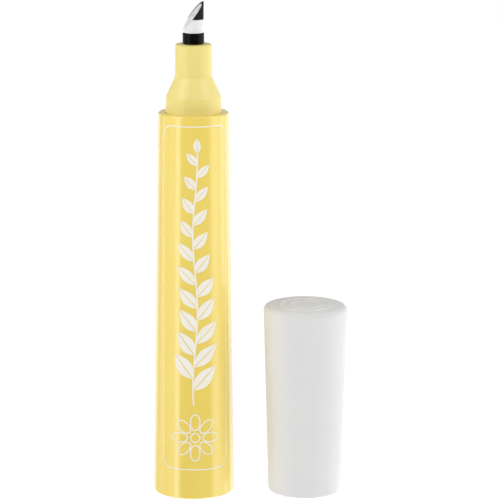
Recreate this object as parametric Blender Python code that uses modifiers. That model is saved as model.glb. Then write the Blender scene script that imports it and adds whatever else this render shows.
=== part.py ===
"""Cuticle remover pen, open, with its cap standing mouth down beside it.

Metres, +Z up. The origin is the centre of the pen's base. The cap stands on +X.
Every turned piece is a profile in the XZ plane, run down its outer side, with a Screw modifier.
"""

import math

import bmesh
import bpy
from mathutils import Matrix

# Clearances
PRESS_GAP = 0.0001
SEAT_GAP = 0.0001
LINER_GAP = 0.00005
CAP_SLIP_GAP = 0.00025
NECK_SEAL_GAP = 0.00012

# Barrel: a tube that widens towards its base, with an inward lip at its top
BARREL_LENGTH = 0.0855
BARREL_BASE_RADIUS = 0.0090
BARREL_TOP_RADIUS = 0.0077
BARREL_WALL = 0.0010
BARREL_LIP_HEIGHT = 0.0024
BARREL_EDGE_RADIUS = 0.0003

# End plug: closes the barrel's base and carries the reservoir on a ring
PLUG_FLOOR = 0.0015
PLUG_SKIRT_HEIGHT = 0.0055
PLUG_SKIRT_WALL = 0.0009
PLUG_RING_RADIUS = 0.0045
PLUG_RING_WALL = 0.0010
PLUG_RING_HEIGHT = 0.0065

# Nose: base ring, cone and neck outside the barrel, flange and cage inside it
RING_BASE_RADIUS = 0.00618
RING_TOP_RADIUS = 0.00600
RING_HEIGHT = 0.0035
RING_EDGE_RADIUS = 0.0004
CONE_HEIGHT = 0.0044
NECK_RADIUS = 0.00403
NECK_HEIGHT = 0.0070
NECK_EDGE_RADIUS = 0.00045
NOSE_WALL = 0.0011
NOSE_FLANGE_HEIGHT = 0.0012
WICK_BORE_LENGTH = 0.0030
CAGE_RADIUS = 0.0054
CAGE_WALL = 0.0009
CAGE_LENGTH = 0.0092
CAGE_SLOT_WIDTH = 0.0016
CAGE_SLOT_LENGTH = 0.0060
CAGE_SLOTS = 4

# Collar: the black holder of the nib, with a stem in the neck
COLLAR_RADIUS = 0.00237
COLLAR_HEIGHT = 0.0023
COLLAR_EDGE_RADIUS = 0.00010
COLLAR_STEM_RADIUS = 0.00195
COLLAR_STEM_LENGTH = 0.0064
SOCKET_DEPTH = 0.0018

# Nib: a cup, a soft pushing edge and a fibre core, cut to one slanted, slightly crowned face
NIB_RADIUS = 0.00223
NIB_HEIGHT = 0.0067
NIB_WALL = 0.0004
CUP_FLOOR = 0.0006
TENON_RADIUS = 0.0016
SLANT_RISE = 0.0062
SLANT_CROWN = 0.00015
SLANT_TURN = math.radians(16)
PUSHER_LEVEL = 0.00296

# Wick: the thin lower length of the fibre core
WICK_RADIUS = 0.00125
WICK_DEPTH = 0.0120

# Fibre reservoir and the film round it
RESERVOIR_RADIUS = 0.0060
FILM_WALL = 0.0002

# Cap: a shell with a straight cavity, and the sleeve in it that seals on the neck
CAP_SPACING = 0.02476
CAP_HEIGHT = 0.0423
CAP_MOUTH_RADIUS = 0.0080
CAP_TOP_RADIUS = 0.0093
CAP_RIM_RADIUS = 0.0011
CAP_EDGE_RADIUS = 0.0002
CAP_TOP_WALL = 0.0012
CAP_STEP = 0.00043
SLEEVE_WALL = 0.0009
SLEEVE_CLEARANCE = 0.0003
NIB_CHAMBER_RADIUS = 0.0032
NIB_HEADROOM = 0.0018
FIN_THICKNESS = 0.0008
FINS = 6

# Fineness of the turned surfaces
SEGMENTS = 48
CROWN_SEGMENTS = 256
ARC_STEPS = 4
MERGE_DISTANCE = 0.000001

# Heights that follow from the sizes above
SHOULDER_Z = BARREL_LENGTH
LIP_UNDER_Z = SHOULDER_Z - BARREL_LIP_HEIGHT
FLANGE_TOP_Z = LIP_UNDER_Z - SEAT_GAP
FLANGE_UNDER_Z = FLANGE_TOP_Z - NOSE_FLANGE_HEIGHT
CAGE_END_Z = FLANGE_UNDER_Z - CAGE_LENGTH
RING_TOP_Z = SHOULDER_Z + RING_HEIGHT
CONE_TOP_Z = RING_TOP_Z + CONE_HEIGHT
NECK_TOP_Z = CONE_TOP_Z + NECK_HEIGHT
COLLAR_BASE_Z = NECK_TOP_Z + SEAT_GAP
COLLAR_TOP_Z = COLLAR_BASE_Z + COLLAR_HEIGHT
STEM_END_Z = COLLAR_BASE_Z - COLLAR_STEM_LENGTH
SOCKET_FLOOR_Z = COLLAR_TOP_Z - SOCKET_DEPTH
NIB_BASE_Z = COLLAR_TOP_Z + SEAT_GAP
NIB_TIP_Z = NIB_BASE_Z + NIB_HEIGHT
CUP_FLOOR_Z = NIB_BASE_Z + CUP_FLOOR
PUSHER_Z = NIB_BASE_Z + PUSHER_LEVEL
RESERVOIR_TOP_Z = CAGE_END_Z - SEAT_GAP
RESERVOIR_BASE_Z = PLUG_RING_HEIGHT + SEAT_GAP
WICK_END_Z = RESERVOIR_TOP_Z - WICK_DEPTH

# Heights inside the cap, from its mouth, for the cap pushed home on the shoulder
SLEEVE_END_Z = CONE_TOP_Z - SHOULDER_Z + SLEEVE_CLEARANCE
NECK_CEILING_Z = NECK_TOP_Z - SHOULDER_Z + SLEEVE_CLEARANCE
NIB_CEILING_Z = NIB_TIP_Z - SHOULDER_Z + NIB_HEADROOM


def material(name, color, roughness, metallic=0.0):
    """A plain Principled finish."""
    made = bpy.data.materials.new(name)
    made.use_nodes = True
    shader = made.node_tree.nodes["Principled BSDF"]
    shader.inputs["Base Color"].default_value = (*color, 1.0)
    shader.inputs["Roughness"].default_value = roughness
    shader.inputs["Metallic"].default_value = metallic
    made.diffuse_color = (*color, 1.0)
    return made


def arc(centre_x, centre_z, radius, start, end):
    """Points along a round corner, from the start to the end angle in degrees."""
    angles = [math.radians(start + (end - start) * i / ARC_STEPS) for i in range(ARC_STEPS + 1)]
    return [(centre_x + radius * math.cos(a), centre_z + radius * math.sin(a)) for a in angles]


def add(name, mesh, finish, parent=None):
    """An object of the pen's collection, with its finish."""
    obj = bpy.data.objects.new(name, mesh)
    mesh.materials.append(finish)
    bpy.data.collections["cuticle_pen"].objects.link(obj)
    if parent:
        obj.parent = parent
    return obj


def turned(name, profile, finish, parent=None):
    """A profile turned about Z. One that leaves the axis clear is closed into a ring."""
    mesh = bpy.data.meshes.new(name)
    outline = bmesh.new()
    points = [outline.verts.new((x, 0, z)) for x, z in profile]
    for first, second in zip(points, points[1:]):
        outline.edges.new((first, second))
    if profile[0][0] > 0:
        outline.edges.new((points[-1], points[0]))
    outline.to_mesh(mesh)
    outline.free()
    obj = add(name, mesh, finish, parent)
    screw = obj.modifiers.new("Turn", "SCREW")
    screw.axis = "Z"
    screw.angle = math.tau
    screw.steps = screw.render_steps = SEGMENTS
    screw.use_merge_vertices = True
    screw.merge_threshold = MERGE_DISTANCE
    screw.use_smooth_shade = True
    return obj


def crisp(obj):
    """Smooth shading that keeps the flat faces flat. It is the last modifier."""
    normals = obj.modifiers.new("Crisp", "WEIGHTED_NORMAL")
    normals.keep_sharp = True


def cutter(name, mesh):
    """An object that only shapes others."""
    obj = bpy.data.objects.new(name, mesh)
    bpy.data.collections["cutters"].objects.link(obj)
    obj.hide_render = True
    obj.display_type = "WIRE"
    return obj


def block(name, size, centre, turn):
    """A box cutter of that size and centre, then turned about Z."""
    mesh = bpy.data.meshes.new(name)
    shape = bmesh.new()
    bmesh.ops.create_cube(shape, size=1)
    bmesh.ops.scale(shape, vec=size, verts=shape.verts)
    bmesh.ops.translate(shape, vec=centre, verts=shape.verts)
    bmesh.ops.rotate(shape, matrix=Matrix.Rotation(turn, 3, "Z"), verts=shape.verts)
    shape.to_mesh(mesh)
    shape.free()
    return cutter(name, mesh)


def combine(obj, other, operation):
    """A live Boolean of obj with another object."""
    boolean = obj.modifiers.new(f"{operation.title()} {other.name}", "BOOLEAN")
    boolean.operation = operation
    boolean.object = other
    boolean.solver = "EXACT"


def barrel_radius(z):
    """The barrel's outer radius at a height."""
    return BARREL_BASE_RADIUS + (BARREL_TOP_RADIUS - BARREL_BASE_RADIUS) * z / BARREL_LENGTH


def bore_radius(z):
    """The radius inside the barrel's wall at a height."""
    return barrel_radius(z) - BARREL_WALL


def make_barrel():
    """The tapered body tube."""
    lip_radius = RING_BASE_RADIUS + PRESS_GAP
    edge = BARREL_EDGE_RADIUS
    top = arc(BARREL_TOP_RADIUS - edge, SHOULDER_Z - edge, edge, 90, 0)
    base = arc(BARREL_BASE_RADIUS - edge, edge, edge, 0, -90)
    inside = [
        (bore_radius(0), 0),
        (bore_radius(LIP_UNDER_Z), LIP_UNDER_Z),
        (lip_radius, LIP_UNDER_Z),
        (lip_radius, SHOULDER_Z),
    ]
    yellow = material("Yellow gloss plastic", (0.86, 0.70, 0.18), 0.32)
    crisp(turned("barrel", top + base + inside, yellow))


def make_end_plug():
    """The plug in the barrel's base, flush with the barrel's end."""
    skirt_z = PLUG_SKIRT_HEIGHT
    outer_base = bore_radius(0) - PRESS_GAP
    outer_top = bore_radius(skirt_z) - PRESS_GAP
    ring_inner = PLUG_RING_RADIUS - PLUG_RING_WALL
    profile = [
        (0, PLUG_FLOOR),
        (ring_inner, PLUG_FLOOR),
        (ring_inner, PLUG_RING_HEIGHT),
        (PLUG_RING_RADIUS, PLUG_RING_HEIGHT),
        (PLUG_RING_RADIUS, PLUG_FLOOR),
        (outer_top - PLUG_SKIRT_WALL, PLUG_FLOOR),
        (outer_top - PLUG_SKIRT_WALL, skirt_z),
        (outer_top, skirt_z),
        (outer_base, 0),
        (0, 0),
    ]
    crisp(turned("end_plug", profile, material("Yellow matt plastic", (0.84, 0.68, 0.17), 0.45)))


def make_nose():
    """The paler front moulding: neck, cone and base ring, then a flange and a slotted cage."""
    edge = NECK_EDGE_RADIUS
    ring_edge = RING_EDGE_RADIUS
    stem_bore = COLLAR_STEM_RADIUS + PRESS_GAP
    wick_bore = WICK_RADIUS + PRESS_GAP
    wick_bore_top = STEM_END_Z - SEAT_GAP
    wick_bore_end = wick_bore_top - WICK_BORE_LENGTH
    flange_radius = bore_radius(FLANGE_TOP_Z) - PRESS_GAP
    cage_bore = CAGE_RADIUS - CAGE_WALL
    cone_inside_z = RING_TOP_Z - NOSE_WALL
    outside = arc(NECK_RADIUS - edge, NECK_TOP_Z - edge, edge, 90, 0)
    outside.append((NECK_RADIUS, CONE_TOP_Z))
    outside.append((RING_TOP_RADIUS - ring_edge / 2, RING_TOP_Z + ring_edge))
    outside.append((RING_TOP_RADIUS, RING_TOP_Z - ring_edge))
    outside.append((RING_BASE_RADIUS, SHOULDER_Z))
    outside.append((RING_BASE_RADIUS, FLANGE_TOP_Z))
    outside.append((flange_radius, FLANGE_TOP_Z))
    outside.append((flange_radius, FLANGE_UNDER_Z))
    outside.append((CAGE_RADIUS, FLANGE_UNDER_Z))
    outside.append((CAGE_RADIUS, CAGE_END_Z))
    inside = [
        (cage_bore, CAGE_END_Z),
        (cage_bore, cone_inside_z),
        (wick_bore, wick_bore_end),
        (wick_bore, wick_bore_top),
        (stem_bore, wick_bore_top),
        (stem_bore, NECK_TOP_Z),
    ]
    nose = turned("nose_section", outside + inside, material("Pale yellow plastic", (0.87, 0.75, 0.33), 0.36))
    slot_height = CAGE_SLOT_LENGTH + SEAT_GAP
    slot_size = (2 * CAGE_RADIUS, CAGE_SLOT_WIDTH, slot_height)
    slot_centre = (CAGE_RADIUS, 0, CAGE_END_Z - SEAT_GAP + slot_height / 2)
    for i in range(CAGE_SLOTS):
        slot = block(f"cage_slot_{i + 1}", slot_size, slot_centre, math.tau * i / CAGE_SLOTS)
        combine(nose, slot, "DIFFERENCE")
    crisp(nose)


def make_collar():
    """The black nib holder: a visible ring on the neck, a socket in its top and a hollow stem."""
    edge = COLLAR_EDGE_RADIUS
    wick_bore = WICK_RADIUS + PRESS_GAP
    socket = TENON_RADIUS + PRESS_GAP
    profile = arc(COLLAR_RADIUS - edge, COLLAR_TOP_Z - edge, edge, 90, 0) + [
        (COLLAR_RADIUS, COLLAR_BASE_Z),
        (COLLAR_STEM_RADIUS, COLLAR_BASE_Z),
        (COLLAR_STEM_RADIUS, STEM_END_Z),
        (wick_bore, STEM_END_Z),
        (wick_bore, SOCKET_FLOOR_Z),
        (socket, SOCKET_FLOOR_Z),
        (socket, COLLAR_TOP_Z),
    ]
    crisp(turned("nib_collar", profile, material("Black plastic", (0.012, 0.012, 0.013), 0.38)))


def make_slant_form():
    """The large drum that all three nib pieces are kept inside: its wall is their slanted face."""
    width = 2 * NIB_RADIUS
    chord = math.hypot(width, SLANT_RISE)
    slope = math.atan2(SLANT_RISE, width)
    drum_radius = (chord**2 / 4 + SLANT_CROWN**2) / (2 * SLANT_CROWN)
    back = drum_radius - SLANT_CROWN
    middle_z = NIB_TIP_Z - SLANT_RISE / 2
    mesh = bpy.data.meshes.new("slant_form")
    drum = bmesh.new()
    bmesh.ops.create_cone(
        drum,
        cap_ends=True,
        segments=CROWN_SEGMENTS,
        radius1=drum_radius,
        radius2=drum_radius,
        depth=2 * width,
        matrix=Matrix.Rotation(math.pi / 2, 4, "X"),
    )
    centre = (back * math.sin(slope), 0, middle_z - back * math.cos(slope))
    bmesh.ops.translate(drum, vec=centre, verts=drum.verts)
    bmesh.ops.rotate(drum, matrix=Matrix.Rotation(SLANT_TURN, 3, "Z"), verts=drum.verts)
    drum.to_mesh(mesh)
    drum.free()
    return cutter("slant_form", mesh)


def make_nib():
    """The white cup, the black pushing edge above it and the fibre core through both."""
    form = make_slant_form()
    pocket = NIB_RADIUS - NIB_WALL
    wick_hole = WICK_RADIUS + PRESS_GAP
    tenon_end = SOCKET_FLOOR_Z + SEAT_GAP
    cup = turned("nib_body", [
        (NIB_RADIUS, PUSHER_Z - SEAT_GAP),
        (NIB_RADIUS, NIB_BASE_Z),
        (TENON_RADIUS, NIB_BASE_Z),
        (TENON_RADIUS, tenon_end),
        (wick_hole, tenon_end),
        (wick_hole, CUP_FLOOR_Z),
        (pocket, CUP_FLOOR_Z),
        (pocket, PUSHER_Z - SEAT_GAP),
    ], material("White nib plastic", (0.86, 0.86, 0.85), 0.42))
    pusher = turned("pusher_edge", [
        (NIB_RADIUS, NIB_TIP_Z + NIB_WALL),
        (NIB_RADIUS, PUSHER_Z),
        (pocket, PUSHER_Z),
        (pocket, NIB_TIP_Z + NIB_WALL),
    ], material("Black rubber", (0.015, 0.015, 0.016), 0.55))
    core_radius = pocket - LINER_GAP
    core_base_z = CUP_FLOOR_Z + SEAT_GAP
    core = turned("felt_core", [
        (0, NIB_TIP_Z + NIB_WALL),
        (core_radius, NIB_TIP_Z + NIB_WALL),
        (core_radius, core_base_z),
        (WICK_RADIUS, core_base_z),
        (WICK_RADIUS, WICK_END_Z),
        (0, WICK_END_Z),
    ], material("White fibre", (0.80, 0.81, 0.82), 0.85))
    for piece in (cup, pusher, core):
        combine(piece, form, "INTERSECT")
        crisp(piece)


def make_reservoir():
    """The fibre filling that holds the liquid, with a blind bore for the wick, and the film round it."""
    wick_bore = WICK_RADIUS + PRESS_GAP
    bore_end_z = WICK_END_Z - SEAT_GAP
    filling = [
        (0, bore_end_z),
        (wick_bore, bore_end_z),
        (wick_bore, RESERVOIR_TOP_Z),
        (RESERVOIR_RADIUS, RESERVOIR_TOP_Z),
        (RESERVOIR_RADIUS, RESERVOIR_BASE_Z),
        (0, RESERVOIR_BASE_Z),
    ]
    crisp(turned("fibre_reservoir", filling, material("Reservoir fibre", (0.82, 0.82, 0.80), 0.9)))
    film_inner = RESERVOIR_RADIUS + LINER_GAP
    film_outer = film_inner + FILM_WALL
    film = [
        (film_outer, RESERVOIR_TOP_Z),
        (film_outer, RESERVOIR_BASE_Z),
        (film_inner, RESERVOIR_BASE_Z),
        (film_inner, RESERVOIR_TOP_Z),
    ]
    crisp(turned("reservoir_wrap", film, material("Clear film", (0.85, 0.88, 0.90), 0.12)))


def make_cap_shell(stand):
    """The cap's outer moulding, closed and widest at its top."""
    rim = CAP_RIM_RADIUS
    edge = CAP_EDGE_RADIUS
    cavity = RING_BASE_RADIUS + CAP_SLIP_GAP
    step_z = NIB_CEILING_Z + SEAT_GAP
    ceiling_z = CAP_HEIGHT - CAP_TOP_WALL
    profile = [(0, CAP_HEIGHT)]
    profile += arc(CAP_TOP_RADIUS - rim, CAP_HEIGHT - rim, rim, 90, 0)
    profile += arc(CAP_MOUTH_RADIUS - edge, edge, edge, 0, -90)
    profile += [
        (cavity + edge, 0),
        (cavity, edge),
        (cavity, step_z),
        (cavity - CAP_STEP, step_z),
        (cavity - CAP_STEP, ceiling_z),
        (0, ceiling_z),
    ]
    crisp(turned("cap_shell", profile, material("Pale grey plastic", (0.78, 0.78, 0.78), 0.4), stand))


def make_inner_cap(stand):
    """The sleeve that seals on the neck and covers the nib, held in the shell by its fins."""
    neck_bore = NECK_RADIUS + NECK_SEAL_GAP
    chamber_outer = NIB_CHAMBER_RADIUS + SLEEVE_WALL
    sleeve_outer = neck_bore + SLEEVE_WALL
    top_z = NIB_CEILING_Z + SLEEVE_WALL
    profile = [
        (0, top_z),
        (chamber_outer, top_z),
        (chamber_outer, NECK_CEILING_Z + SLEEVE_WALL),
        (sleeve_outer, NECK_CEILING_Z),
        (sleeve_outer, SLEEVE_END_Z),
        (neck_bore, SLEEVE_END_Z),
        (neck_bore, NECK_CEILING_Z),
        (NIB_CHAMBER_RADIUS, NECK_CEILING_Z),
        (NIB_CHAMBER_RADIUS, NIB_CEILING_Z),
        (0, NIB_CEILING_Z),
    ]
    sleeve = turned("inner_cap", profile, material("White sleeve plastic", (0.88, 0.88, 0.87), 0.4), stand)
    fin_inner = NIB_CHAMBER_RADIUS + SLEEVE_WALL / 2
    fin_outer = RING_BASE_RADIUS + CAP_SLIP_GAP - PRESS_GAP
    fin_end_z = NECK_CEILING_Z + SLEEVE_WALL / 2
    fin_size = (fin_outer - fin_inner, FIN_THICKNESS, NIB_CEILING_Z - fin_end_z)
    fin_centre = ((fin_outer + fin_inner) / 2, 0, (NIB_CEILING_Z + fin_end_z) / 2)
    for i in range(FINS):
        fin = block(f"sleeve_fin_{i + 1}", fin_size, fin_centre, math.tau * i / FINS)
        fin.parent = stand
        combine(sleeve, fin, "UNION")
    crisp(sleeve)


def main():
    """Clears the scene and builds the pen, then the cap on its own stand."""
    for obj in list(bpy.data.objects):
        bpy.data.objects.remove(obj, do_unlink=True)
    for name in ("cuticle_pen", "cutters"):
        bpy.context.scene.collection.children.link(bpy.data.collections.new(name))
    make_barrel()
    make_end_plug()
    make_nose()
    make_collar()
    make_nib()
    make_reservoir()
    stand = bpy.data.objects.new("cap_axis", None)
    stand.location = (CAP_SPACING, 0, 0)
    bpy.data.collections["cuticle_pen"].objects.link(stand)
    make_cap_shell(stand)
    make_inner_cap(stand)
    bpy.context.view_layer.update()


main()
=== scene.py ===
"""The looks of a cuticle remover pen that stands open, with its cap mouth down beside it.

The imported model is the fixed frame: metres, +Z up, the origin at the centre of the pen's base,
and the cap on +X. Every piece rides on the pen or on the cap.
"""

import logging
import math
from abc import ABC, abstractmethod
from collections.abc import Mapping
from dataclasses import dataclass, fields
from enum import Enum
from functools import cache
from types import SimpleNamespace
from typing import Self

import bmesh
import bpy
from mathutils import Matrix, Vector


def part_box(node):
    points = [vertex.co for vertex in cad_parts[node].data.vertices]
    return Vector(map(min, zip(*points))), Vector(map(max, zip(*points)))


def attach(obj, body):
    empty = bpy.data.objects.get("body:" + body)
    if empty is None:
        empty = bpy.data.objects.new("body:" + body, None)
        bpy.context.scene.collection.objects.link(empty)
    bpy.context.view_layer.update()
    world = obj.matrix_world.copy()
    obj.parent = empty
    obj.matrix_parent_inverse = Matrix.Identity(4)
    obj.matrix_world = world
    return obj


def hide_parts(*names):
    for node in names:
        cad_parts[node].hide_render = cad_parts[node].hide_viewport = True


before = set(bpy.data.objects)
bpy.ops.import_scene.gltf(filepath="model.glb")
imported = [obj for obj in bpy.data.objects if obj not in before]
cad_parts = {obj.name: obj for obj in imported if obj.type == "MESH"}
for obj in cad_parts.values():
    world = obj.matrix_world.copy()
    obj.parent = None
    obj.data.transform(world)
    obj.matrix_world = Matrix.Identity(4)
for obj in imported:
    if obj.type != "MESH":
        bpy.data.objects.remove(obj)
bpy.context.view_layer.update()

LOG = logging.getLogger("cuticle_pen")

Color = tuple[float, float, float]
Material = bpy.types.Material
Node = bpy.types.Node
Object = bpy.types.Object
Outline = list[tuple[float, float]]
Tree = bpy.types.NodeTree

# Fineness of the surfaces
SEGMENTS = 128
ARC_STEPS = 8
SUPPORT_SPACING = 0.00008
SHORTEST_SUPPORTED = 4 * SUPPORT_SPACING
LONGEST_STRETCH = 0.0035
MERGE_DISTANCE = 0.0000002
PRINT_MERGE_DISTANCE = 10 * MERGE_DISTANCE
SHARP_ANGLE = math.radians(40)
BEVEL_SEGMENTS = 3

# Sockets by their place on the node
MIX_SHARE, MIX_FROM, MIX_TO, MIX_COLOR = 0, 6, 7, 2
RANDOM_LOW, RANDOM_HIGH, RANDOM_VALUE = 2, 3, 1
IS_CAMERA_RAY = 0
OBJECT_PLACE = 3

# Where noise, which runs from 0 to 1, starts to show and where it shows in full
CLOUDS_SHOW = (0.3, 0.7)
SMUDGES_SHOW = (0.35, 0.75)
HAIRLINES_SHOW = (0.62, 0.72)
HANDLING_SHOWS = (0.48, 0.62)
FIBRE_GAPS_SHOW = (0.35, 0.7)
THIN_INK_SHOWS = (0.5, 0.8)

# Sizes of patterns, beside those that a finish sets
SMUDGES_PER_CLOUD = 2.7
HAIRLINE_STRETCH = (0.12, 0.12, 1.0)
HANDLED_PATCHES_PER_METRE = 160.0
WAVERS_PER_FIBRE = 0.4

WHITE = (1.0, 1.0, 1.0, 1.0)


class Body(Enum):
    """The two bodies that pieces ride on."""

    PEN = "pen"
    CAP = "cap"


@dataclass(frozen=True)
class Term:
    """An output of a node, which sums and products are written with."""

    bench: "Bench"
    socket: bpy.types.NodeSocket

    def __add__(self, other: float | Self) -> Self:
        """The sum."""
        return self.bench.math("ADD", self, other)

    def __sub__(self, other: float | Self) -> Self:
        """The difference."""
        return self.bench.math("SUBTRACT", self, other)

    def __mul__(self, other: float | Self) -> Self:
        """The product."""
        return self.bench.math("MULTIPLY", self, other)

    def __truediv__(self, other: float | Self) -> Self:
        """The quotient."""
        return self.bench.math("DIVIDE", self, other)

    def __rtruediv__(self, other: float) -> Self:
        """A number divided by the term."""
        return self.bench.math("DIVIDE", other, self)

    def __mod__(self, other: float | Self) -> Self:
        """The remainder."""
        return self.bench.math("MODULO", self, other)


Signal = Term | list[Term] | float | bool | str | tuple | bpy.types.ID
Inputs = Mapping[int | str, Signal]


class Bench:
    """Adds nodes to one geometry or shader tree and links them.

    Attributes:
        tree: The tree.
        given: The terms of the tree's own inputs, by name.
    """

    def __init__(self, tree: Tree) -> None:
        """Starts on a tree."""
        self.tree = tree
        self.given = SimpleNamespace()

    def fill(self, node: Node, inputs: Inputs) -> None:
        """Feeds a node's inputs. A plain value goes straight on its socket.

        Args:
            node: The node.
            inputs: A term, a list of terms or a plain value for each input, by name or index.
        """
        for key, value in inputs.items():
            for one in reversed(value if isinstance(value, list) else [value]):
                if isinstance(one, Term):
                    self.tree.links.new(one.socket, node.inputs[key])
                else:
                    node.inputs[key].default_value = one

    def outs(self, kind: str, inputs: Inputs | None = None, **settings: Signal) -> list[Term]:
        """Adds a node.

        Args:
            kind: Its type.
            inputs: What feeds its inputs, by name or index.
            **settings: Its own properties, set first.

        Returns:
            All its outputs.
        """
        node = self.tree.nodes.new(kind)
        for key, value in settings.items():
            setattr(node, key, value)
        self.fill(node, inputs or {})
        return [Term(self, socket) for socket in node.outputs]

    def out(self, kind: str, inputs: Inputs | None = None, **settings: Signal) -> Term:
        """Adds a node, as outs does, and gives its first output."""
        return self.outs(kind, inputs, **settings)[0]

    def geo(self, kind: str, inputs: Inputs | None = None, **settings: Signal) -> Term:
        """Adds a geometry node and gives its first output."""
        return self.out(f"GeometryNode{kind}", inputs, **settings)

    def copies(self, shape: Term, points: Term, turn: Term, scale: Signal = (1.0, 1.0, 1.0)) -> Term:
        """Sets a copy of a shape on each point, turned about Z."""
        inputs = {"Instance": shape, "Rotation": self.vector(0.0, 0.0, turn), "Scale": scale}
        return self.geo("InstanceOnPoints", {"Points": points, **inputs})

    def math(self, operation: str, *values: Signal) -> Term:
        """One step of arithmetic, by the name that the Math node has for it."""
        return self.out("ShaderNodeMath", dict(enumerate(values)), operation=operation)

    def vector(self, x: Signal = 0.0, y: Signal = 0.0, z: Signal = 0.0) -> Term:
        """A vector of three signals."""
        return self.out("ShaderNodeCombineXYZ", {"X": x, "Y": y, "Z": z})

    def parts(self, vector: Term) -> list[Term]:
        """The X, Y and Z of a vector."""
        return self.outs("ShaderNodeSeparateXYZ", {0: vector})

    def ramp(self, value: Term, low: float, high: float, start: Signal = 0.0, end: Signal = 1.0) -> Term:
        """Maps the range from low to high to the one from start to end, held at both ends."""
        inputs = dict(enumerate((value, low, high, start, end)))
        return self.out("ShaderNodeMapRange", inputs, clamp=True)

    def noise(self, place: Term, scale: Signal, detail: float, distortion: float = 0.0) -> Term:
        """Noise from 0 to 1, most of it near the middle."""
        inputs = {"Vector": place, "Scale": scale, "Detail": detail, "Distortion": distortion}
        return self.out("ShaderNodeTexNoise", inputs)

    def tint(self, color: Color, other: Color, share: Term) -> Term:
        """A colour that changes over the surface from one to another."""
        inputs = {MIX_SHARE: share, MIX_FROM: (*color, 1.0), MIX_TO: (*other, 1.0)}
        return self.outs("ShaderNodeMix", inputs, data_type="RGBA")[MIX_COLOR]

    def end(self, kind: str, **outputs: Term) -> Tree:
        """Ends a group.

        Args:
            kind: The kind of its outputs, such as Float.
            **outputs: What each puts out.

        Returns:
            The finished tree.
        """
        for name in outputs:
            self.tree.interface.new_socket(name, in_out="OUTPUT", socket_type=f"NodeSocket{kind}")
        self.outs("NodeGroupOutput", outputs)
        return self.tree


def open_tree(name: str, kind: str, **inputs: str) -> Bench:
    """Starts a node group.

    Args:
        name: Its name.
        kind: Geometry or Shader.
        **inputs: The kind of each of its inputs, such as Float.

    Returns:
        The bench on its tree.
    """
    bench = Bench(bpy.data.node_groups.new(name, f"{kind}NodeTree"))
    for label, socket in inputs.items():
        bench.tree.interface.new_socket(label, in_out="INPUT", socket_type=f"NodeSocket{socket}")
    bench.given = SimpleNamespace(**dict(zip(inputs, bench.outs("NodeGroupInput"))))
    return bench


@cache
def moulded_group() -> Tree:
    """Builds the group of a moulded surface: fine grain, slow changes of tone and smudges.

    Returns:
        The group.
    """
    bench = open_tree("moulded_surface", "Shader", grain_size="Float", cloud_size="Float")
    place = bench.outs("ShaderNodeTexCoord")[OBJECT_PLACE]
    clouds_per_metre = 1.0 / bench.given.cloud_size
    grain = bench.noise(place, 1.0 / bench.given.grain_size, detail=3.0)
    cloud = bench.noise(place, clouds_per_metre, detail=2.0)
    smear = bench.noise(place, clouds_per_metre * SMUDGES_PER_CLOUD, detail=2.0, distortion=0.3)
    return bench.end("Float", Height=grain, Tone=cloud, Smudge=bench.ramp(smear, *SMUDGES_SHOW))


@cache
def hairline_group() -> Tree:
    """Builds the group of fine handling marks: short hairlines that run mostly round the piece.

    Returns:
        The group.
    """
    bench = open_tree("hairline_marks", "Shader", spacing="Float", amount="Float")
    place = bench.outs("ShaderNodeTexCoord")[OBJECT_PLACE]
    drawn = bench.out("ShaderNodeMapping", {"Vector": place, "Scale": HAIRLINE_STRETCH})
    lines = bench.noise(drawn, 1.0 / bench.given.spacing, detail=2.0, distortion=0.6)
    patches = bench.noise(place, HANDLED_PATCHES_PER_METRE, detail=1.0)
    handled = bench.ramp(lines, *HAIRLINES_SHOW) * bench.ramp(patches, *HANDLING_SHOWS)
    return bench.end("Float", Mask=handled * bench.given.amount)


@cache
def fibre_group() -> Tree:
    """Builds the group of bundled fibre that runs upright.

    Returns:
        The group.
    """
    bench = open_tree("upright_fibre", "Shader", fibre_size="Float", stretch="Float")
    x, y, z = bench.parts(bench.outs("ShaderNodeTexCoord")[OBJECT_PLACE])
    drawn = bench.vector(x, y, z * bench.given.stretch)
    scale = 1.0 / bench.given.fibre_size
    strands = bench.out("ShaderNodeTexVoronoi", {"Vector": drawn, "Scale": scale})
    waver = bench.noise(drawn, scale * WAVERS_PER_FIBRE, detail=4.0)
    return bench.end("Float", Height=strands, Tone=waver)


def blank_material(name: str) -> tuple[Material, Bench, Node]:
    """Starts a material.

    Args:
        name: Its name.

    Returns:
        The material, a bench on its tree and its Principled shader.
    """
    material = bpy.data.materials.new(name)
    material.use_nodes = True
    return material, Bench(material.node_tree), material.node_tree.nodes["Principled BSDF"]


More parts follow.
